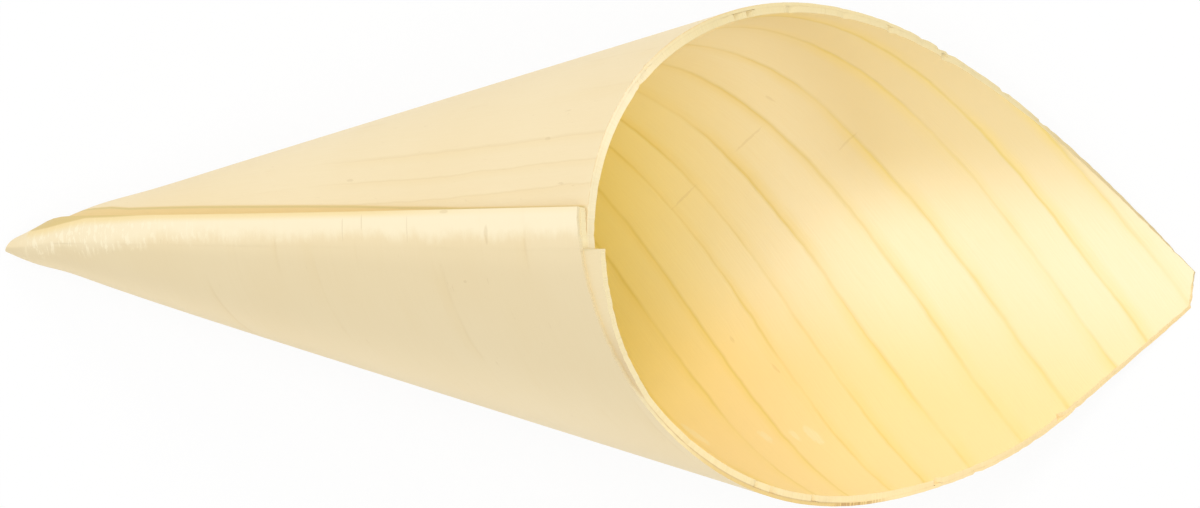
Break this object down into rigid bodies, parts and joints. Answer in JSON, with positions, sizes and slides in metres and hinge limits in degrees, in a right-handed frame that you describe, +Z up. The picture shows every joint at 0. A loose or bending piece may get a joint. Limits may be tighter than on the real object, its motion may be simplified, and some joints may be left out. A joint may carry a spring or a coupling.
{
  "type": "wooden food cone",
  "caption": "Small single-serving cone rolled from a nearly square sheet of pale wood veneer, with a lapped seam and an open slanted mouth.",
  "frame": {"origin": "middle of the cone's footprint, on the surface that it lies on", "axes": "the cone lies on its side: +X runs from the tip to the mouth, +Z is up, and the lapped seam is on top"},
  "size_m": [0.087, 0.034, 0.0308],
  "materials": {
    "veneer": "unfinished pale softwood veneer, sliced and pressed, slightly satin"
  },
  "bodies": {
    "root": {"rolled_veneer_cone": "veneer"}
  },
  "joints": []
}
